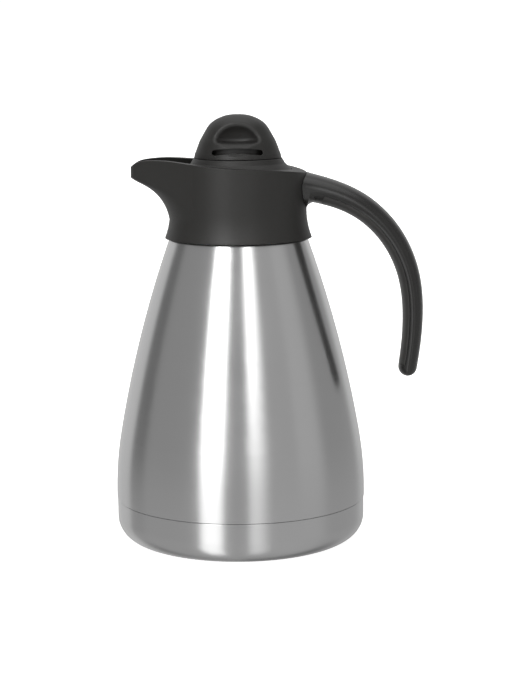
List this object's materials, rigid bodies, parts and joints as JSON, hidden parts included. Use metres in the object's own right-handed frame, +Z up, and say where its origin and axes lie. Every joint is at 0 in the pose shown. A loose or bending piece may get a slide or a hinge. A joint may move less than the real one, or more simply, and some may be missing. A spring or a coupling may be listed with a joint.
{
  "type": "vacuum jug",
  "caption": "Steel vacuum jug with a black plastic collar, open pouring spout, open-ended hook handle and a lift-out stopper whose domed twist grip opens a pouring valve.",
  "frame": {"origin": "centre of the flat underside, on the surface that the jug stands on", "axes": "+Z up along the jug's axis, -X to the spout, +X to the handle"},
  "size_m": [0.1667, 0.135, 0.2295],
  "materials": {
    "satin_steel": "satin, fine circumferential brushing",
    "liner_steel": "drawn and electropolished",
    "plain_steel": "plain drawn sheet",
    "screw_steel": "bright",
    "bead_glass": "melted bead",
    "getter_metal": "sintered",
    "black_plastic": "fine matt texture",
    "handle_plastic": "smoother than the collar, with a dull shine",
    "soft_black_plastic": "softer, slightly lighter matt surface",
    "grey_plastic": "moulded polypropylene",
    "white_plastic": "slippery acetal",
    "silicone": "food-grade silicone",
    "foam": "closed-cell foam"
  },
  "bodies": {
    "jug": {"outer_shell": "satin_steel", "base_cup": "satin_steel", "vacuum_bottom": "plain_steel", "seal_bead": "bead_glass", "getter_cup": "plain_steel", "getter_pellet": "getter_metal", "inner_liner": "liner_steel", "liner_bottom": "liner_steel", "liner_neck": "liner_steel", "collar": "black_plastic", "shoulder_seal": "silicone", "neck_gasket": "silicone", "neck_insert": "grey_plastic", "handle": "handle_plastic", "handle_inlay": "soft_black_plastic", "handle_screws": "screw_steel"},
    "stopper": {"stopper_housing": "black_plastic", "stopper_gasket": "silicone", "stopper_cover": "black_plastic", "foam_ring": "foam", "hub_cap": "black_plastic", "valve_guide": "grey_plastic"},
    "grip": {"knob": "black_plastic", "spindle": "grey_plastic", "spindle_oring": "silicone", "retaining_clip": "screw_steel", "thrust_washer": "white_plastic", "grip_screw": "screw_steel"},
    "valve": {"valve_stem": "grey_plastic", "valve_seal": "silicone", "seal_retainer": "grey_plastic"}
  },
  "joints": [
    {"name": "stopper_lift", "type": "slide", "parent": "jug", "child": "stopper", "axis": [0, 0, 1], "range_m": [0, 0.06]},
    {"name": "grip_turn", "type": "hinge", "parent": "stopper", "child": "grip", "pos_m": [0, 0, 0.215], "axis": [0, 0, 1], "range_deg": [0, 180]},
    {"name": "valve_travel", "type": "slide", "parent": "stopper", "child": "valve", "axis": [0, 0, 1], "range_m": [-0.003, 0]}
  ],
  "couplings": [
    {"joint": "valve_travel", "follows": "grip_turn", "m_per_rad": -0.00095493}
  ]
}
